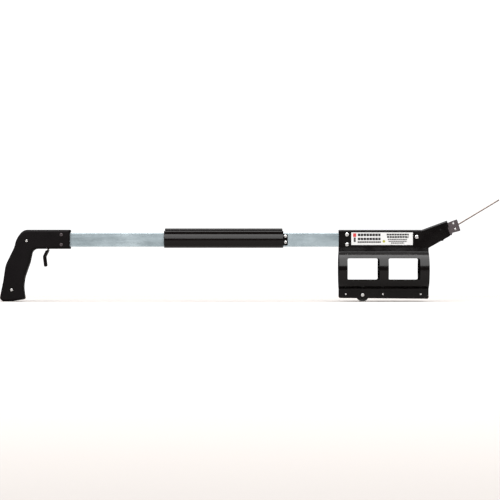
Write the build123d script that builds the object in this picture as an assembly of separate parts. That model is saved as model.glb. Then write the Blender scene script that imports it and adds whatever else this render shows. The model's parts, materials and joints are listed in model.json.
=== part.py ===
from build123d import *
import math
import os

# A hand-held wand for an inverted marking-paint can. +X runs from the pistol grip to the can end,
# +Z is up and Y crosses the wand. Shapes are drawn with the tube's axis on z = 0, and write() lifts
# them by AXIS_Z so that the grip's butt and the wheel stand on z = 0.
AXIS_Z = 114.4
GAP = 0.05  # radial running clearance of every pin in its bore
FREE = 0.1  # radial clearance of every fastener in its hole
SCREW_R = 1.5  # shank of every 3 mm screw

# Aluminium tube, in two lengths that meet under the sleeve
TUBE_H = 25.4
TUBE_W = 12.7
TUBE_WALL = 1.5
TUBE_LEFT = -362.0
TUBE_RIGHT = 322.0
SIDE = TUBE_W / 2
BORE_W = TUBE_W - 2 * TUBE_WALL
BORE_H = TUBE_H - 2 * TUBE_WALL

# Pistol grip: two moulded halves that meet on y = 0
GRIP_HALF = 15.0
GRIP_SKIN = 2.6
GRIP_ROUND = 4.5
GRIP_RIGHT = -334.3
GRIP_TOP = 18.8
GRIP_UNDER = -16.8
BUTT_CORNER = -114.82
GRIP_SCREWS = [(-414.4, -1.6), (-442.1, -92.7)]
CLAMP_SCREWS = [(-349.9, 9.4), (-349.9, -9.1)]
POST_R = 5.2
RIB_T = 3.0
RIB_REACH = 14.0
COUNTERBORE_R = 3.4
COUNTERBORE = 3.2

# Trigger and the rod it pulls
PIVOT_X = -374.3
PIVOT_Z = 12.5
PIVOT_R = 2.0
SWING = 18.0
ROD_R = 1.5
ROD_Z = 1.5
ROD_BEND = 3.0
ROD_TIP_Y = -5.9
TRIGGER_ARM = PIVOT_Z - ROD_Z
HUB_Y = (-5.5, -3.3)
HUB_ROOM = 6.3
BEARING_R = 4.6
STRIP_T = 2.4
STRIP_HALF = 6.0
SLEEVE_T = 5.7
SLEEVE_HALF = 7.8
TRIGGER_TIP = (-380.0, -47.1)
TRIGGER_RIVET_R = 1.1
TRIGGER_RIVETS = [(0.0, -8.5), (3.4, -8.5)]  # (y, z)

# Can holder: two mirrored pressings of steel sheet
SHEET = 1.5
HOLD_LEFT = 164.8
HOLD_RIGHT = 331.6
HOLD_TOP = 18.8
FLANGE_LOW = -109.5
CAN_Z = -56.3
CAN_R = 33.5
FACE = SIDE + SHEET
FLARE_TOP = -13.4
FLARE_LOW = -26.0
FLARE_OUT = 2.4
LIP_ROUND = 3.0
BEND_X = 319.7
ARM_TILT = 20.3
ARM_LIP = 12.0
HOLD_SCREWS = [(180.0, 9.8), (180.0, -8.8), (309.5, 5.3)]
FLANGE_RIVET_R = 1.2
FLANGE_RIVETS = [(177.8, -100.8), (246.8, -100.8), (317.1, -100.8)]
WINDOWS = [(180.2, 239.2), (256.1, 314.3)]
WINDOW_Z = (-74.0, -34.4)
WINDOW_ROUND = 3.0
LABEL_X = (188.1, 302.2)
LABEL_Z = (-9.5, 13.8)
LABEL_T = 0.3

# Wheel between the lower flanges
WHEEL_X = 209.1
WHEEL_R = 12.0
WHEEL_HALF = 5.2
WHEEL_Z = WHEEL_R - AXIS_Z
AXLE_R = 2.0

# Lever that the rod turns, with the long wire
LEVER_X = 354.1
LEVER_Z = 16.2
LEVER_PIN_R = 2.0
LEVER_Y = (-5.2, -3.2)
LEVER_ARM = LEVER_Z - ROD_Z
WIRE_R = 1.3
WIRE_Y = LEVER_Y[1] + WIRE_R
WIRE_FROM = (371.0, 18.9)
WIRE_TO = (463.0, 74.4)
KEEPER_T = 1.2
LEVER_RIVET_R = 1.2
LEVER_RIVETS = [(377.4, 30.3), (381.3, 20.3)]

# Half the swing puts each rod pin this far from the line below its pivot, at rest and fully pulled
PIN_OUT = TRIGGER_ARM * math.tan(math.radians(SWING / 2))
PULL = TRIGGER_ARM * math.radians(SWING)
LEVER_SWING = math.degrees(PULL / LEVER_ARM)
LEVER_PIN_OUT = LEVER_ARM * math.tan(math.radians(LEVER_SWING / 2))
ROD_LEFT = PIVOT_X + PIN_OUT
ROD_RIGHT = LEVER_X + LEVER_PIN_OUT

# Splice plate, sleeve, rod guides and return spring
SPLICE_HALF = 70.0
SPLICE_Z = (-9.9, 11.0)
SPLICE_T = 1.2
SPLICE_SCREW_R = 1.4
SPLICE_SCREWS = [(x, z) for x in (-65.7, 65.7) for z in (6.9, -4.3)]
SLEEVE_X = (-159.8, 62.0)
SLEEVE_R = 14.4
SLEEVE_LOW = -15.0
SHOULDER_W = 18.8
SHOULDER_TOP = 16.9
SHOULDER_ROUND = 2.2
BEAD_R = 3.2
BEAD_TOP = 21.4
BEAD_SHORT = 1.6
SLEEVE_ROUND = 1.2
GUIDES = [-318.0, -110.0, 120.0, 296.0]
GUIDE_T = 5.0
COLLAR_X = (-276.0, -270.0)
COLLAR_R = 3.6
SPRING_R = 2.7
SPRING_WIRE = 0.5
SPRING_TURNS = 14


def write(name, *solids):
    """Writes one node, lifted to its height above the floor."""
    placed = [Pos(0, 0, AXIS_Z) * piece for shape in solids for piece in shape.solids()]
    shape = placed[0] if len(placed) == 1 else Compound(children=placed)
    export_step(shape, f"parts/{name}.step")


def slab(face_points, y_from, y_to, radius=0.0):
    """A plate from an outline of (x, z) points, between two y values, with rounded corners."""
    outline = make_face(Polyline(*face_points, close=True))
    if radius:
        outline = fillet(outline.vertices(), radius)
    return thick(outline, y_from, y_to)


def thick(outline, y_from, y_to):
    """An outline drawn in x and z (as the sketch's x and y), made solid between two y values."""
    return Plane.XZ.offset(-y_to) * extrude(outline, y_to - y_from)


def box(x_range, y_range, z_range):
    """A box from its three ranges."""
    spans = [x_range, y_range, z_range]
    middle = [(low + high) / 2 for low, high in spans]
    return Pos(*middle) * Box(*[high - low for low, high in spans])


def across(radius, x, z, y_from, y_to):
    """A cylinder along Y."""
    return thick(Pos(x, z) * Circle(radius), y_from, y_to)


def ring(outer, inner, x, z, y_from, y_to):
    """A tube along Y."""
    return across(outer, x, z, y_from, y_to) - across(inner, x, z, y_from - 1, y_to + 1)


def hexagon(radius, x, z, y_from, y_to):
    """A hexagonal prism along Y."""
    return thick(Pos(x, z) * RegularPolygon(radius, 6), y_from, y_to)


def nut(hole, x, z, y_from, height):
    """A hexagon nut on a screw along Y."""
    body = hexagon(hole * 1.95, x, z, y_from, y_from + height)
    return body - across(hole, x, z, y_from - 1, y_from + height + 1)


def pan_screw(shank, head, rise, x, z, y_face, y_end):
    """A cross-head pan screw: its head stands proud of y_face towards -Y, its shank ends at y_end."""
    cap = across(head, x, z, y_face - rise, y_face)
    cap = fillet(cap.faces().sort_by(Axis.Y)[0].edges(), rise * 0.6)
    cross = [
        Pos(x, y_face - rise, z) * Rot(0, turn, 0) * Box(head * 1.1, rise * 1.1, 0.9)
        for turn in (45, 135)
    ]
    return cap + across(shank, x, z, y_face, y_end) - cross[0] - cross[1]


def rivet(shank, head, rise, x, z, y_near, y_far):
    """A rivet along Y with a low head outside each of two faces."""
    near = across(head, x, z, y_near - rise, y_near)
    near = fillet(near.faces().sort_by(Axis.Y)[0].edges(), rise * 0.7)
    far = across(head, x, z, y_far, y_far + rise)
    far = fillet(far.faces().sort_by(Axis.Y)[-1].edges(), rise * 0.7)
    return near + across(shank, x, z, y_near, y_far) + far


def grip_outline():
    """Side view of the pistol grip: a square mouth for the tube, a curved back and a curved front."""
    corners = [
        (GRIP_RIGHT, GRIP_TOP, 0), (-420.5, GRIP_TOP, 17), (-433.6, 2.0, 40), (-437.4, -14.0, 40),
        (-453.6, -47.0, 45), (-457.8, -76.0, 60), (-465.4, -113.0, 7), (-446.0, BUTT_CORNER, 60),
        (-417.9, -110.2, 3), (-420.8, -88.0, 50), (-418.6, -70.0, 50), (-408.8, -42.0, 50),
        (-403.4, GRIP_UNDER, 11), (GRIP_RIGHT, GRIP_UNDER, 0)
    ]
    points = [(x, z) for x, z, _ in corners]
    radii = [radius for _, _, radius in corners]
    return make_face(FilletPolyline(*points, radius=radii, close=True))


def grip_ribs():
    """Ribs round the tube and round the trigger pivot, and the screw posts, for both sides of y = 0."""
    across_grip = (-RIB_REACH, RIB_REACH)
    starts = (GRIP_RIGHT - RIB_T, -346.0, -359.0)
    ribs = [box((x, x + RIB_T), across_grip, (-20, 20)) for x in starts]
    posts = [across(POST_R, x, z, *across_grip) for x, z in GRIP_SCREWS + CLAMP_SCREWS]
    bearing = across(BEARING_R, PIVOT_X, PIVOT_Z, *across_grip)
    bearing = bearing - across(BEARING_R + 1, PIVOT_X, PIVOT_Z, -HUB_ROOM, HUB_ROOM)
    for near, far in ((-RIB_REACH, -HUB_ROOM), (HUB_ROOM, RIB_REACH)):
        bearing = bearing + box((PIVOT_X - 1, PIVOT_X + 1), (near, far), (PIVOT_Z, 20))
    return ribs + posts + [bearing]


def grip_shells():
    """The two moulded halves, hollow, with the tube's seat, the trigger's slot and the screw holes."""
    outline = grip_outline()
    outside = thick(outline, -GRIP_HALF, GRIP_HALF)
    rims = [edge for face in (0, -1) for edge in outside.faces().sort_by(Axis.Y)[face].edges()]
    outside = fillet(rims, GRIP_ROUND)
    reach = GRIP_HALF - GRIP_SKIN
    inside = thick(offset(outline, -GRIP_SKIN), -reach, reach)
    shell = outside - inside
    for rib in grip_ribs():
        shell = shell + (rib & outside)
    lips = [
        box((GRIP_RIGHT, GRIP_RIGHT + 1), (-10, 10), (14.8, 17.8)),
        box((GRIP_RIGHT, GRIP_RIGHT + 1), (-10, 10), (-15.8, -13.6)),
    ]
    shell = shell + lips[0] + lips[1]
    shell = shell - box((TUBE_LEFT, 0), (-SIDE, SIDE), (-TUBE_H / 2, TUBE_H / 2))
    shell = shell - box((-390.4, -370.2), (-SLEEVE_HALF, SLEEVE_HALF), (-18, -13))
    shell = shell - across(PIVOT_R, PIVOT_X, PIVOT_Z, -12.5, 12.5)
    for x, z in GRIP_SCREWS:
        shell = shell - across(SCREW_R + FREE, x, z, -20, 20)
        shell = shell - across(COUNTERBORE_R, x, z, -20, -GRIP_HALF + COUNTERBORE)
        shell = shell - hexagon(3.0, x, z, GRIP_HALF - COUNTERBORE, 20)
    for x, z in CLAMP_SCREWS:
        shell = shell - across(SCREW_R + FREE, x, z, -20, 20)
    front = shell & box((-500, 0), (-20, 0), (-150, 50))
    back = shell & box((-500, 0), (0, 20), (-150, 50))
    return front, back


def grip_fasteners():
    """Screws and nuts of the grip, and the two screws that clamp it across the tube."""
    seat = -GRIP_HALF + COUNTERBORE
    write("handle_screws", *[pan_screw(SCREW_R, 3.2, 2.0, x, z, seat, 15) for x, z in GRIP_SCREWS])
    write("handle_nuts", *[nut(SCREW_R, x, z, GRIP_HALF - COUNTERBORE, 2.4) for x, z in GRIP_SCREWS])
    clamps = [pan_screw(SCREW_R, 3.0, 1.2, x, z, -GRIP_HALF, 17.6) for x, z in CLAMP_SCREWS]
    write("tube_clamp_screws", *clamps)
    write("tube_clamp_nuts", *[nut(SCREW_R, x, z, GRIP_HALF, 2.2) for x, z in CLAMP_SCREWS])


def rod_slot(pivot_x, pivot_z, arm, swing):
    """The slot that holds a rod pin below its pivot, turned to where the pin is at rest."""
    half = math.radians(swing / 2)
    reach = arm / math.cos(half) / 2 + arm / 2
    centre = (pivot_x + reach * math.sin(half), pivot_z - reach * math.cos(half))
    return Pos(*centre) * Rot(0, 0, 90 + swing / 2) * SlotCenterToCenter(0.7, 2 * ROD_R + 0.8)


def trigger():
    """Hub on the pivot pin, a bent steel strip riveted to it, and the dipped sleeve over the strip."""
    hub = across(3.4, PIVOT_X, PIVOT_Z, HUB_Y[0], 6.0)
    hub = hub + box((PIVOT_X - 3.4, PIVOT_X + 3.4), HUB_Y, (-11.0, PIVOT_Z))
    hub = hub + box((PIVOT_X - 3.4, PIVOT_X - 0.9), (HUB_Y[0], 5.5), (-13.0, -4.0))
    hub = hub - across(PIVOT_R + GAP, PIVOT_X, PIVOT_Z, -20, 20)
    slot = rod_slot(PIVOT_X, PIVOT_Z, TRIGGER_ARM, SWING)
    hub = hub - thick(slot, HUB_Y[0] - 1, HUB_Y[1] + 1)
    strip_x = PIVOT_X - 0.9 + STRIP_T / 2
    path = FilletPolyline(
        (strip_x, -4.2), (strip_x, -15.2), (-381.9, -30.9), TRIGGER_TIP, radius=7.0
    )
    strip = thick(trace(path, STRIP_T), -STRIP_HALF, STRIP_HALF)
    strip = strip - box((strip_x - 5, strip_x + 5), (-7, HUB_Y[1] + 0.1), (-11.5, -3))
    for y, z in TRIGGER_RIVETS:
        hole = Pos(strip_x, y, z) * Rot(0, 90, 0) * Cylinder(TRIGGER_RIVET_R, 20)
        hub = hub - hole
        strip = strip - hole
    skin = thick(trace(path, SLEEVE_T) + Pos(*TRIGGER_TIP) * Circle(SLEEVE_T / 2), -SLEEVE_HALF, SLEEVE_HALF)
    skin = skin & box((-400, -360), (-SLEEVE_HALF, SLEEVE_HALF), (-60, -19.4))
    rims = [edge for side in (0, -1) for edge in skin.faces().sort_by(Axis.Y)[side].edges()]
    skin = fillet(rims, 1.8)
    skin = skin - strip
    write("trigger_hub", hub)
    write("trigger_strip", strip)
    write("trigger_sleeve", skin)
    left = PIVOT_X - 3.4
    right = PIVOT_X - 0.9 + STRIP_T
    rivets = []
    for y, z in TRIGGER_RIVETS:
        body = Pos((left + right) / 2, y, z) * Rot(0, 90, 0) * Cylinder(TRIGGER_RIVET_R, right - left)
        heads = [Pos(x, y, z) * Rot(0, 90, 0) * Cylinder(1.8, 0.7) for x in (left - 0.35, right + 0.35)]
        rivets.append(body + heads[0] + heads[1])
    write("trigger_rivets", *rivets)
    write("trigger_pivot_pin", across(PIVOT_R, PIVOT_X, PIVOT_Z, -12.4, 12.4))


def tube_length(x_from, x_to, wide=TUBE_W, high=TUBE_H, corner=0.5):
    """A length of rectangular tube along X."""
    outer = Plane.YZ.offset(x_from) * RectangleRounded(wide, high, corner)
    inner = Plane.YZ.offset(x_from) * RectangleRounded(wide - 2 * TUBE_WALL, high - 2 * TUBE_WALL, 0.6)
    return extrude(outer - inner, x_to - x_from)


def tubes():
    """The two tube lengths, the splice inside them and the plate screwed on their front face."""
    through = [across(SCREW_R + FREE, x, z, -10, 10) for x, z in CLAMP_SCREWS + HOLD_SCREWS]
    splice = [across(SPLICE_SCREW_R + FREE, x, z, -10, 0) for x, z in SPLICE_SCREWS]
    upper = tube_length(TUBE_LEFT, -0.2)
    lower = tube_length(0.2, TUBE_RIGHT)
    insert = tube_length(-SPLICE_HALF - 8, SPLICE_HALF + 8, BORE_W, BORE_H, 0.7)
    outline = [(-SPLICE_HALF, SPLICE_Z[0]), (SPLICE_HALF, SPLICE_Z[0]), (SPLICE_HALF, SPLICE_Z[1]),
               (-SPLICE_HALF, SPLICE_Z[1])]
    plate = slab(outline, -SIDE - SPLICE_T, -SIDE, 2.0)
    for hole in through + splice:
        upper = upper - hole
        lower = lower - hole
        insert = insert - hole
    for hole in splice:
        plate = plate - hole
    write("upper_tube", upper)
    write("lower_tube", lower)
    write("splice_insert", insert)
    write("splice_plate", plate)
    face = -SIDE - SPLICE_T
    screws = [pan_screw(SPLICE_SCREW_R, 2.8, 1.7, x, z, face, -2.6) for x, z in SPLICE_SCREWS]
    write("splice_screws", *screws)


def rounded_length(section, x_from, x_to, radius):
    """A section drawn in y and z, made solid along X, with both its ends rounded."""
    solid = Plane.YZ.offset(x_from) * extrude(section, x_to - x_from)
    ends = [edge for face in (0, -1) for edge in solid.faces().sort_by(Axis.X)[face].edges()]
    return fillet(ends, radius)


def grip_sleeve():
    """Sleeve on the tube: a round body, a shoulder over the tube's top and a shorter bead along it."""
    shoulder = Pos(0, SHOULDER_TOP / 2) * RectangleRounded(SHOULDER_W, SHOULDER_TOP, SHOULDER_ROUND)
    section = Pos(0, SLEEVE_LOW + SLEEVE_R) * Circle(SLEEVE_R) + shoulder
    bead = Pos(0, BEAD_TOP - BEAD_R) * Circle(BEAD_R)
    body = rounded_length(section, *SLEEVE_X, SLEEVE_ROUND)
    body = body + rounded_length(bead, SLEEVE_X[0] + BEAD_SHORT, SLEEVE_X[1] - BEAD_SHORT, SLEEVE_ROUND)
    body = body - box((-500, 500), (-SIDE, SIDE), (-TUBE_H / 2, TUBE_H / 2))
    body = body - box((-SPLICE_HALF, 100), (-SIDE - SPLICE_T, 0), SPLICE_Z)
    body = body - box((-SPLICE_HALF + 1, 100), (-SIDE - SPLICE_T - 1.8, 0), (-7.4, 9.8))
    write("grip_sleeve", body)


def pull_rod():
    """Rod with a square-turned end at each side, its collar, the guides and the return spring."""
    path = FilletPolyline(
        (ROD_LEFT, ROD_TIP_Y, ROD_Z), (ROD_LEFT, 0, ROD_Z), (ROD_RIGHT, 0, ROD_Z),
        (ROD_RIGHT, ROD_TIP_Y, ROD_Z), radius=ROD_BEND
    )
    start = Plane(origin=(ROD_LEFT, ROD_TIP_Y, ROD_Z), z_dir=(0, 1, 0))
    write("pull_rod", sweep(start * Circle(ROD_R), path=path))
    middle = (COLLAR_X[0] + COLLAR_X[1]) / 2
    width = COLLAR_X[1] - COLLAR_X[0]
    collar = Cylinder(COLLAR_R, width) - Cylinder(ROD_R, width)
    write("rod_collar", Pos(middle, 0, ROD_Z) * Rot(0, 90, 0) * collar)
    guide = Plane.YZ * extrude(RectangleRounded(BORE_W, BORE_H, 0.7), GUIDE_T)
    guide = guide - Pos(0, 0, ROD_Z) * Rot(0, 90, 0) * Cylinder(ROD_R + GAP, 3 * GUIDE_T)
    write("rod_guides", *[Pos(x, 0, 0) * guide for x in GUIDES])
    spring_from = GUIDES[0] + GUIDE_T + SPRING_WIRE + 0.1
    length = COLLAR_X[0] - SPRING_WIRE - 0.1 - spring_from
    coil = Helix(length / SPRING_TURNS, length, SPRING_R, direction=(1, 0, 0))
    start = Plane(origin=coil @ 0, z_dir=coil % 0)
    spring = sweep(start * Circle(SPRING_WIRE), path=coil, is_frenet=True)
    write("return_spring", Pos(spring_from, 0, ROD_Z) * spring)


def side_profile(half, barrel):
    """One face of both pressings' section: straight sides, a flare, the barrel and the flange."""
    high = HOLD_TOP - FLANGE_LOW
    sides = Pos(0, (HOLD_TOP + FLANGE_LOW) / 2) * Rectangle(2 * half, high)
    flare = make_face(Polyline((-half, FLARE_TOP), (half, FLARE_TOP), (half + FLARE_OUT, FLARE_LOW),
                               (-half - FLARE_OUT, FLARE_LOW), close=True))
    return sides + flare + Pos(0, CAN_Z) * Circle(barrel)


def near_height(shape, low, high):
    """The corners of a section between two heights."""
    return [corner for corner in shape.vertices() if low < corner.Y < high]


def holder_profile():
    """Section of both pressings across X: a lip at the top, then their sides down to the flange."""
    outer = side_profile(FACE, CAN_R + SHEET)
    inner = side_profile(SIDE, CAN_R)
    outer = fillet(near_height(outer, FLARE_LOW, FLARE_LOW + 6), 1.5)
    inner = fillet(near_height(inner, FLARE_LOW, FLARE_LOW + 6), 1.5 + SHEET)
    outer = fillet(near_height(outer, FLARE_TOP - 0.5, FLARE_TOP + 0.5), 7.0 + SHEET)
    inner = fillet(near_height(inner, FLARE_TOP - 0.5, FLARE_TOP + 0.5), 7.0)
    outer = fillet(near_height(outer, CAN_Z - CAN_R - 2, CAN_Z - 20), 4.0)
    inner = fillet(near_height(inner, CAN_Z - CAN_R - 2, CAN_Z - 20), 4.0 + SHEET)
    outer = fillet(near_height(outer, HOLD_TOP - 1, HOLD_TOP + 1), LIP_ROUND)
    inner = inner - Pos(0, HOLD_TOP) * Rectangle(2 * FACE, 2 * SHEET)
    inner = fillet(near_height(inner, HOLD_TOP - 2, HOLD_TOP + 1), LIP_ROUND - SHEET)
    slit = Pos(0, HOLD_TOP) * Rectangle(0.6, 3 * SHEET)
    foot = Pos(0, FLANGE_LOW) * Rectangle(2 * SIDE, 2)
    return outer - inner - slit - foot


def arm_profile():
    """Section of both arms across their own length: flat sides under a lip, hung from y = 0."""
    outer = Pos(0, -ARM_LIP / 2) * Rectangle(2 * FACE, ARM_LIP)
    inner = Pos(0, -SHEET - ARM_LIP / 2) * Rectangle(2 * SIDE, ARM_LIP)
    outer = fillet(near_height(outer, -1, 1), LIP_ROUND)
    inner = fillet(near_height(inner, -2, 0), LIP_ROUND - SHEET)
    return outer - inner - Rectangle(0.6, 4 * SHEET)


def mitre(distance):
    """A point on the line where the level lip meets the arm's lip, so far below the bend."""
    half_turn = math.radians(ARM_TILT / 2)
    return (BEND_X + distance * math.sin(half_turn), HOLD_TOP - distance * math.cos(half_turn))


def arms():
    """The two flat arms and the lip along their top, cut off square to the arm's length."""
    outline = make_face(Polyline((BEND_X - 6, 12.0), (BEND_X, 13.8), (364.0, 30.2), (372.4, 7.8),
                                 (HOLD_RIGHT, -15.1), (BEND_X - 6, -15.1), close=True))
    outline = fillet([v for v in outline.vertices() if v.X > 370], 2.0)
    tilt = math.radians(ARM_TILT)
    along = Plane(origin=(BEND_X, 0, HOLD_TOP), x_dir=(0, 1, 0), z_dir=(math.cos(tilt), 0, math.sin(tilt)))
    lip = along.offset(-5) * extrude(arm_profile(), 58.0)
    end = make_face(Polyline(mitre(40), (374.0, 0.8), (365.9, 35.7), (360, 60), mitre(-40), close=True))
    web = thick(outline, -FACE, -SIDE) + thick(outline, SIDE, FACE)
    return web + (lip & thick(end, -50, 50))


def holder():
    """Both pressings: the same profile along X, the angled arm, the windows and the holes."""
    length = HOLD_RIGHT - HOLD_LEFT
    body = Plane.YZ.offset(HOLD_LEFT) * extrude(holder_profile(), length)
    trim = make_face(Polyline((HOLD_LEFT, 30), (HOLD_LEFT, -108.0), (HOLD_RIGHT, FLANGE_LOW),
                              (HOLD_RIGHT, 30), close=True))
    trim = fillet([v for v in trim.vertices() if v.Y < 0], 3.0)
    body = body & thick(trim, -50, 50)
    past_bend = make_face(Polyline(mitre(4.2), (400, mitre(4.2)[1]), (400, 60), mitre(-40), close=True))
    body = body - thick(past_bend, -50, 50)
    body = body + arms()
    for left, right in WINDOWS:
        low, high = WINDOW_Z
        opening = RectangleRounded(right - left, high - low, WINDOW_ROUND)
        opening = Pos((left + right) / 2, (low + high) / 2) * opening
        body = body - thick(opening, -50, -10) - thick(opening, 10, 50)
    holes = [(x, z, SCREW_R + FREE) for x, z in HOLD_SCREWS]
    holes = holes + [(x, z, FLANGE_RIVET_R) for x, z in FLANGE_RIVETS]
    holes = holes + [(WHEEL_X, WHEEL_Z, AXLE_R), (LEVER_X, LEVER_Z, LEVER_PIN_R)]
    for x, z, radius in holes:
        body = body - across(radius, x, z, -50, 50)
    write("front_plate", body & box((100, 400), (-50, 0), (-150, 60)))
    write("back_plate", body & box((100, 400), (0, 50), (-150, 60)))


def holder_fasteners():
    """Screws, nuts, rivets and spacers that hold the two pressings, and the plain label."""
    screws = [pan_screw(SCREW_R, 3.5, 2.0, x, z, -FACE, FACE + 2.6) for x, z in HOLD_SCREWS]
    write("holder_screws", *screws)
    write("holder_nuts", *[nut(SCREW_R, x, z, FACE, 2.4) for x, z in HOLD_SCREWS])
    rivets = [rivet(FLANGE_RIVET_R, 1.6, 0.5, x, z, -FACE, FACE) for x, z in FLANGE_RIVETS]
    write("flange_rivets", *rivets)
    spacers = [ring(3.0, FLANGE_RIVET_R, x, z, -SIDE, SIDE) for x, z in FLANGE_RIVETS]
    write("flange_spacers", *spacers)
    write("label_plate", box(LABEL_X, (-FACE - LABEL_T, -FACE), LABEL_Z))


def wheel():
    """Moulded wheel with dished sides on a bolt between the flanges."""
    disc = across(WHEEL_R, WHEEL_X, WHEEL_Z, -WHEEL_HALF, WHEEL_HALF)
    disc = fillet(disc.edges(), 1.0)
    for near, far in ((-WHEEL_HALF, -WHEEL_HALF + 1.2), (WHEEL_HALF - 1.2, WHEEL_HALF)):
        disc = disc - ring(WHEEL_R - 2.4, 5.0, WHEEL_X, WHEEL_Z, near, far)
    disc = disc - across(AXLE_R + GAP, WHEEL_X, WHEEL_Z, -20, 20)
    write("wheel", disc)
    write("wheel_axle", pan_screw(AXLE_R, 3.2, 1.8, WHEEL_X, WHEEL_Z, -FACE, FACE + 3.6))
    write("axle_nut", nut(AXLE_R, WHEEL_X, WHEEL_Z, FACE, 3.2))
    washers = [ring(4.4, AXLE_R, WHEEL_X, WHEEL_Z, low, low + 1.0) for low in (-SIDE, SIDE - 1.0)]
    write("wheel_washers", *washers)


def lever():
    """Zinc lever between the arms, with its tail on the rod and the wire riveted behind its nose."""
    outline = make_face(Polyline((369.2, 32.7), (384.6, 38.5), (391.2, 16.9), (376.3, 13.0), (375.0, 8.6),
                                 (361.0, 8.2), (350.5, 9.6), (348.6, 20.4), close=True))
    outline = fillet([v for v in outline.vertices() if v.X > 380], 1.5)
    tail = make_face(Polyline((LEVER_X - 5, LEVER_Z), (LEVER_X + 5, LEVER_Z), (ROD_RIGHT + 4.2, -2.0),
                              (ROD_RIGHT - 4.2, -2.0), close=True))
    tail = fillet([v for v in tail.vertices() if v.Y < 0], 2.5)
    plate = thick(outline + tail, *LEVER_Y) + across(6.0, LEVER_X, LEVER_Z, *LEVER_Y)
    plate = plate - across(LEVER_PIN_R + GAP, LEVER_X, LEVER_Z, -10, 10)
    slot = rod_slot(LEVER_X, LEVER_Z, LEVER_ARM, LEVER_SWING)
    plate = plate - thick(slot, -10, 10)
    near = WIRE_Y + WIRE_R
    far = near + KEEPER_T
    keeper = slab([(373.0, 31.5), (381.0, 34.5), (386.0, 18.5), (377.0, 16.3)], near, far, 1.5)
    for x, z in LEVER_RIVETS:
        plate = plate - across(LEVER_RIVET_R, x, z, -10, 10)
        keeper = keeper - across(LEVER_RIVET_R, x, z, -10, 10)
    write("actuator_lever", plate)
    write("wire_keeper", keeper)
    rivets = [rivet(LEVER_RIVET_R, 1.8, 0.6, x, z, LEVER_Y[0], far) for x, z in LEVER_RIVETS]
    write("lever_rivets", *rivets)
    reach = (WIRE_TO[0] - WIRE_FROM[0], 0, WIRE_TO[1] - WIRE_FROM[1])
    start = Plane(origin=(WIRE_FROM[0], WIRE_Y, WIRE_FROM[1]), z_dir=reach)
    length = math.hypot(reach[0], reach[2])
    write("pointer_wire", start * extrude(Circle(WIRE_R), length))
    write("lever_pivot_pin", rivet(LEVER_PIN_R, 3.0, 0.6, LEVER_X, LEVER_Z, -FACE, FACE))
    bushes = [(-SIDE, LEVER_Y[0] - 0.1), (LEVER_Y[1] + 0.1, SIDE)]
    write("lever_spacers", *[ring(3.4, LEVER_PIN_R, LEVER_X, LEVER_Z, low, high) for low, high in bushes])


os.makedirs("parts", exist_ok=True)
front_shell, back_shell = grip_shells()
write("handle_front_shell", front_shell)
write("handle_back_shell", back_shell)
grip_fasteners()
trigger()
tubes()
grip_sleeve()
pull_rod()
holder()
holder_fasteners()
wheel()
lever()
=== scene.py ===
import json
import math

import bpy
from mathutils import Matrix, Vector


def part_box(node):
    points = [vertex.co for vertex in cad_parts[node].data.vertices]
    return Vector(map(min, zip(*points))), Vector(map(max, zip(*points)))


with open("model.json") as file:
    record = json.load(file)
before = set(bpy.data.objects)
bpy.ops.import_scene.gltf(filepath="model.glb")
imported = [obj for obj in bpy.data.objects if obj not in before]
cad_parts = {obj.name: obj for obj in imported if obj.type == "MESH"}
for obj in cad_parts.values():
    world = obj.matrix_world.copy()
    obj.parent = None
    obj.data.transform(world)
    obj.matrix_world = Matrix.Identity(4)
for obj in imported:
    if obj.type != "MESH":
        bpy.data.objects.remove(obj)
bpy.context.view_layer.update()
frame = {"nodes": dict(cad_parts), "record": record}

MM = 0.001
NODES = frame["nodes"]

# Floor, in metres
FLOOR_WIDE = 7.0
FLOOR_BEHIND = 0.55
FLOOR_FRONT = 3.6

# Softboxes, in metres. Seen from the point that they face, the front one spans 26 to 72 degrees up from
# the front and the top one 72 to 116. The radiance is in watts a square metre a steradian.
BOXES_FACE = (0.0, 0.0, 0.1)
BOX_WIDE = 6.5
BOX_RADIANCE = 7.5
FRONT_BOX = (0.0, -2.295, 2.74)
FRONT_BOX_TALL = 2.97
TOP_BOX = (0.0, 0.25, 3.61)
TOP_BOX_TALL = 2.85

# The surround's strength as the camera sees it, and as it lights the wand
SURROUND_SEEN = 1.15
SURROUND_LIGHT = 0.03
WHITE = (1.0, 1.0, 1.0, 1.0)

# Camera, in metres, with its sensor in mm
CAMERA_AWAY = 4.0
CAMERA_HEIGHT = 0.0956
VIEW_WIDE = 0.930
SENSOR = 36.0
FAR_CLIP = 100.0


# ---------------------------------------------------------------- material helpers

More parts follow.
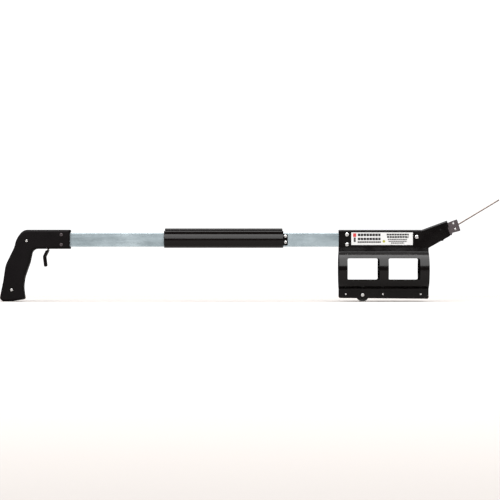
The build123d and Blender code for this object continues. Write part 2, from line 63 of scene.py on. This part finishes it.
class Shader:
    """A material under construction: a principled shader fed by noise in the object's own space."""

    def __init__(self, name, metallic=0.0, roughness=0.5, shine=0.5):
        self.material = bpy.data.materials.new(name)
        self.material.use_nodes = True
        self.tree = self.material.node_tree
        self.bsdf = self.tree.nodes["Principled BSDF"]
        self.bsdf.inputs["Metallic"].default_value = metallic
        self.bsdf.inputs["Roughness"].default_value = roughness
        self.bsdf.inputs["Specular IOR Level"].default_value = shine
        self.place = self.node("ShaderNodeTexCoord").outputs["Object"]
        self.normal = None

    def node(self, kind, **settings):
        """Adds a node and sets its properties."""
        made = self.tree.nodes.new(kind)
        for key, value in settings.items():
            setattr(made, key, value)
        return made

    def link(self, source, target):
        self.tree.links.new(source, target)

    def math(self, operation, left, right=None):
        """A math node on sockets or numbers."""
        made = self.node("ShaderNodeMath", operation=operation)
        for index, value in enumerate((left, right)):
            if value is None:
                continue
            if isinstance(value, (int, float)):
                made.inputs[index].default_value = value
            else:
                self.link(value, made.inputs[index])
        return made.outputs[0]

    def noise(self, scale, stretch=(1.0, 1.0, 1.0), detail=4.0, rough=0.6):
        """Noise of so many features a metre, stretched along the axes, from 0 to 1."""
        mapping = self.node("ShaderNodeMapping")
        mapping.inputs["Scale"].default_value = stretch
        self.link(self.place, mapping.inputs["Vector"])
        made = self.node("ShaderNodeTexNoise")
        made.inputs["Scale"].default_value = scale
        made.inputs["Detail"].default_value = detail
        made.inputs["Roughness"].default_value = rough
        self.link(mapping.outputs["Vector"], made.inputs["Vector"])
        return made.outputs["Fac"]

    def ramp(self, value, low, high, to_low, to_high):
        """A clamped linear map of a value, from low and high to the other two."""
        made = self.node("ShaderNodeMapRange")
        limits = {"From Min": low, "From Max": high, "To Min": to_low, "To Max": to_high}
        for name, number in limits.items():
            made.inputs[name].default_value = number
        self.link(value, made.inputs["Value"])
        return made.outputs["Result"]

    def mix(self, amount, first, second):
        """A colour mix; each side is a colour or a socket."""
        made = self.node("ShaderNodeMix", data_type="RGBA")
        self.link(amount, made.inputs["Factor"])
        for name, value in (("A", first), ("B", second)):
            socket = [s for s in made.inputs if s.name == name and s.type == "RGBA"][0]
            if isinstance(value, tuple):
                socket.default_value = (*value, 1.0)
            else:
                self.link(value, socket)
        return [s for s in made.outputs if s.type == "RGBA"][0]

    def paint(self, colour):
        self.link(colour, self.bsdf.inputs["Base Color"])

    def rough(self, value):
        self.link(value, self.bsdf.inputs["Roughness"])

    def bump(self, value, strength, depth):
        """Adds a bump of so many metres to whatever bump there is."""
        made = self.node("ShaderNodeBump")
        made.inputs["Strength"].default_value = strength
        made.inputs["Distance"].default_value = depth
        self.link(value, made.inputs["Height"])
        if self.normal is not None:
            self.link(self.normal, made.inputs["Normal"])
        self.normal = made.outputs["Normal"]
        self.link(self.normal, self.bsdf.inputs["Normal"])
        return self


# ---------------------------------------------------------------- materials

def aluminium():
    """Mill-finish extrusion: cool grey, cloudy, with fine drawing lines along the tube."""
    shade = Shader("aluminium_mill", metallic=1.0)
    cloud = shade.noise(38.0, (0.5, 1, 1), 5.0)
    lines = shade.noise(900.0, (0.012, 1, 1), 3.0)
    amount = shade.ramp(cloud, 0.35, 0.7, 0.0, 1.0)
    shade.paint(shade.mix(amount, (0.288, 0.350, 0.378), (0.378, 0.440, 0.468)))
    shade.rough(shade.ramp(shade.math("ADD", cloud, lines), 0.7, 1.3, 0.36, 0.52))
    return shade.bump(lines, 0.2, 0.02 * MM).bump(cloud, 0.2, 0.08 * MM).material


def grip_plastic():
    """Matte black moulding with a fine spark-eroded texture, a little uneven in tone."""
    shade = Shader("grip_plastic", shine=0.055)
    grain = shade.noise(1900.0, detail=3.0)
    patch = shade.noise(45.0, detail=5.0)
    amount = shade.ramp(patch, 0.3, 0.75, 0.0, 1.0)
    shade.paint(shade.mix(amount, (0.0022, 0.0016, 0.0018), (0.0032, 0.0024, 0.0026)))
    shade.rough(shade.ramp(patch, 0.3, 0.7, 0.5, 0.64))
    return shade.bump(grain, 0.3, 0.06 * MM).material


def sleeve_vinyl():
    """Glossy black sleeve with slight flow lines along it."""
    shade = Shader("sleeve_vinyl", shine=0.15)
    flow = shade.noise(260.0, (0.05, 1, 1))
    smudge = shade.noise(70.0, (0.5, 1, 1), 5.0)
    shade.paint(shade.mix(smudge, (0.0020, 0.0014, 0.0013), (0.0030, 0.0022, 0.0021)))
    shade.rough(shade.ramp(smudge, 0.35, 0.7, 0.13, 0.24))
    return shade.bump(flow, 0.05, 0.03 * MM).material


def black_paint():
    """Gloss baked paint on pressed steel: faint orange peel, handling smudges and dust specks."""
    shade = Shader("black_paint", shine=0.17)
    peel = shade.noise(330.0, detail=2.0)
    smudge = shade.noise(32.0, detail=6.0)
    base = shade.mix(smudge, (0.0017, 0.0013, 0.0013), (0.0028, 0.0022, 0.0022))
    speck = shade.ramp(shade.noise(420.0, detail=6.0, rough=0.8), 0.70, 0.76, 0.0, 0.5)
    shade.paint(shade.mix(speck, base, (0.06, 0.057, 0.055)))
    shade.rough(shade.ramp(smudge, 0.35, 0.72, 0.13, 0.26))
    return shade.bump(peel, 0.12, 0.03 * MM).material


def bright_zinc():
    """Bright zinc plate on fasteners, slightly cloudy."""
    shade = Shader("bright_zinc", metallic=1.0)
    cloud = shade.noise(700.0)
    shade.paint(shade.mix(cloud, (0.60, 0.60, 0.60), (0.84, 0.84, 0.82)))
    shade.rough(shade.ramp(cloud, 0.3, 0.7, 0.2, 0.38))
    return shade.bump(cloud, 0.2, 0.04 * MM).material


def grey_zinc():
    """Dull grey zinc sheet with a rolled grain."""
    shade = Shader("grey_zinc", metallic=0.75)
    grain = shade.noise(520.0, (0.15, 1, 1), 5.0)
    patch = shade.noise(120.0)
    shade.paint(shade.mix(patch, (0.045, 0.037, 0.039), (0.078, 0.066, 0.069)))
    shade.rough(shade.ramp(grain, 0.3, 0.7, 0.38, 0.56))
    return shade.bump(grain, 0.3, 0.08 * MM).material


def bare_steel():
    """Drawn spring steel, a little brown."""
    shade = Shader("bare_steel", metallic=0.9)
    draw = shade.noise(500.0, (0.05, 1, 1))
    stain = shade.noise(90.0, detail=5.0)
    amount = shade.ramp(stain, 0.4, 0.7, 0.0, 1.0)
    shade.paint(shade.mix(amount, (0.13, 0.10, 0.085), (0.07, 0.05, 0.04)))
    shade.rough(shade.ramp(stain, 0.3, 0.7, 0.32, 0.5))
    return shade.bump(draw, 0.25, 0.06 * MM).material


def wheel_rubber():
    """Hard black rubber with pale scuffs."""
    shade = Shader("wheel_rubber")
    grain = shade.noise(1200.0, detail=3.0)
    scuff = shade.noise(160.0, detail=6.0)
    amount = shade.ramp(scuff, 0.5, 0.75, 0.0, 1.0)
    shade.paint(shade.mix(amount, (0.013, 0.0125, 0.012), (0.03, 0.028, 0.026)))
    shade.rough(shade.ramp(scuff, 0.3, 0.7, 0.5, 0.72))
    return shade.bump(grain, 0.4, 0.1 * MM).material


def nylon():
    """Natural nylon of the rod guides."""
    shade = Shader("natural_nylon", roughness=0.45)
    mottle = shade.noise(200.0)
    shade.paint(shade.mix(mottle, (0.55, 0.53, 0.47), (0.68, 0.66, 0.60)))
    return shade.bump(mottle, 0.2, 0.1 * MM).material


# ---------------------------------------------------------------- the label

RED = (0.34, 0.03, 0.03)
DARK = (0.006, 0.005, 0.005)
FADED = (0.03, 0.027, 0.027)
OLIVE = (0.22, 0.22, 0.02)

# Plain marks on the label as fractions of it: left, right, bottom, top, gaps a label width, ink.
LABEL_MARKS = (
    (0.028, 0.080, 0.64, 0.93, 0, RED),
    (0.098, 0.475, 0.70, 0.91, 21, DARK),
    (0.098, 0.475, 0.38, 0.58, 21, DARK),
    (0.098, 0.480, 0.16, 0.30, 34, FADED),
    (0.038, 0.072, 0.24, 0.60, 0, FADED),
    (0.570, 0.935, 0.76, 0.90, 24, DARK),
    (0.575, 0.930, 0.56, 0.71, 24, DARK),
    (0.590, 0.905, 0.40, 0.49, 34, FADED),
    (0.600, 0.905, 0.25, 0.34, 34, FADED),
    (0.640, 0.860, 0.11, 0.20, 34, FADED),
)
GAP_SHARE = 0.14

# The dot's centre as fractions of the label, and its radius
DOT_ACROSS = 0.53
DOT_UP = 0.29
DOT_R = 2.5 * MM


def label_film():
    """White film with plain marks only: a red square, dark bars broken by gaps and an olive dot."""
    low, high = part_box("label_plate")
    wide = high.x - low.x
    tall = high.z - low.z
    shade = Shader("label_film", roughness=0.4, shine=0.3)
    split = shade.node("ShaderNodeSeparateXYZ")
    shade.link(shade.place, split.inputs[0])
    across = shade.math("DIVIDE", shade.math("SUBTRACT", split.outputs["X"], low.x), wide)
    up = shade.math("DIVIDE", shade.math("SUBTRACT", split.outputs["Z"], low.z), tall)

    def between(value, low_end, high_end):
        above = shade.math("GREATER_THAN", value, low_end)
        return shade.math("MULTIPLY", above, shade.math("LESS_THAN", value, high_end))

    fade = shade.noise(60.0)
    colour = shade.mix(fade, (0.42, 0.42, 0.415), (0.46, 0.46, 0.455))
    for left, right, bottom, top, gaps, ink in LABEL_MARKS:
        mark = shade.math("MULTIPLY", between(across, left, right), between(up, bottom, top))
        if gaps:
            beat = shade.math("FRACT", shade.math("MULTIPLY", shade.math("SUBTRACT", across, left), gaps))
            mark = shade.math("MULTIPLY", mark, shade.math("GREATER_THAN", beat, GAP_SHARE))
        colour = shade.mix(mark, colour, ink)
    dx = shade.math("SUBTRACT", split.outputs["X"], low.x + DOT_ACROSS * wide)
    dz = shade.math("SUBTRACT", split.outputs["Z"], low.z + DOT_UP * tall)
    reach = shade.math("ADD", shade.math("MULTIPLY", dx, dx), shade.math("MULTIPLY", dz, dz))
    shade.paint(shade.mix(shade.math("LESS_THAN", reach, DOT_R ** 2), colour, OLIVE))
    return shade.bump(shade.noise(500.0), 0.08, 0.05 * MM).material


def paint_nodes():
    """Gives every CAD node the material of its slot."""
    materials = {
        "aluminium": aluminium(), "grip_plastic": grip_plastic(), "sleeve_vinyl": sleeve_vinyl(),
        "black_paint": black_paint(), "bright_zinc": bright_zinc(), "grey_zinc": grey_zinc(),
        "bare_steel": bare_steel(), "black_wheel": wheel_rubber(), "white_nylon": nylon(),
        "label": label_film(),
    }
    slots = {entry["node"]: entry["material_slot"] for entry in frame["record"]["subparts"]}
    for name, node in NODES.items():
        node.data.materials.clear()
        node.data.materials.append(materials[slots[name]])


# ---------------------------------------------------------------- stage, lights and camera

def floor_paper():
    """Matte grey paper, slightly warm, that the lights wash out to white."""
    shade = Shader("floor_paper", roughness=0.85, shine=0.1)
    grain = shade.noise(6.0)
    shade.paint(shade.mix(grain, (0.305, 0.287, 0.275), (0.32, 0.302, 0.29)))
    return shade.material


def stage():
    """The floor under the wand."""
    middle = (FLOOR_BEHIND - FLOOR_FRONT) / 2
    bpy.ops.mesh.primitive_plane_add(size=1.0, location=(0, middle, 0))
    floor = bpy.context.object
    floor.scale = (FLOOR_WIDE, FLOOR_BEHIND + FLOOR_FRONT, 1.0)
    floor.name = "floor"
    floor.data.materials.append(floor_paper())


def surround():
    """A white surround, bright where the camera looks straight at it and dim for everything else."""
    world = bpy.data.worlds.new("surround")
    bpy.context.scene.world = world
    world.use_nodes = True
    tree = world.node_tree
    dim = tree.nodes["Background"]
    dim.inputs["Color"].default_value = WHITE
    dim.inputs["Strength"].default_value = SURROUND_LIGHT
    bright = tree.nodes.new("ShaderNodeBackground")
    bright.inputs["Color"].default_value = WHITE
    bright.inputs["Strength"].default_value = SURROUND_SEEN
    seen = tree.nodes.new("ShaderNodeLightPath")
    pick = tree.nodes.new("ShaderNodeMixShader")
    tree.links.new(seen.outputs["Is Camera Ray"], pick.inputs[0])
    tree.links.new(dim.outputs[0], pick.inputs[1])
    tree.links.new(bright.outputs[0], pick.inputs[2])
    tree.links.new(pick.outputs[0], tree.nodes["World Output"].inputs["Surface"])


def softbox(name, place, tall):
    """A rectangular light of even brightness that faces the wand."""
    data = bpy.data.lights.new(name, "AREA")
    data.shape = "RECTANGLE"
    data.size = BOX_WIDE
    data.size_y = tall
    data.energy = BOX_RADIANCE * math.pi * BOX_WIDE * tall
    lamp = bpy.data.objects.new(name, data)
    lamp.location = place
    lamp.rotation_euler = (Vector(BOXES_FACE) - Vector(place)).to_track_quat("-Z", "Y").to_euler()
    bpy.context.scene.collection.objects.link(lamp)


def camera():
    """Long lens, level, square to the wand's side."""
    data = bpy.data.cameras.new("camera")
    data.sensor_width = SENSOR
    data.lens = SENSOR * CAMERA_AWAY / VIEW_WIDE
    data.clip_end = FAR_CLIP
    view = bpy.data.objects.new("camera", data)
    view.location = (0.0, -CAMERA_AWAY, CAMERA_HEIGHT)
    view.rotation_euler = (math.pi / 2, 0, 0)
    bpy.context.scene.collection.objects.link(view)
    bpy.context.scene.camera = view


bpy.context.scene.view_settings.view_transform = "Standard"
paint_nodes()
stage()
surround()
softbox("front_box", FRONT_BOX, FRONT_BOX_TALL)
softbox("top_box", TOP_BOX, TOP_BOX_TALL)
camera()
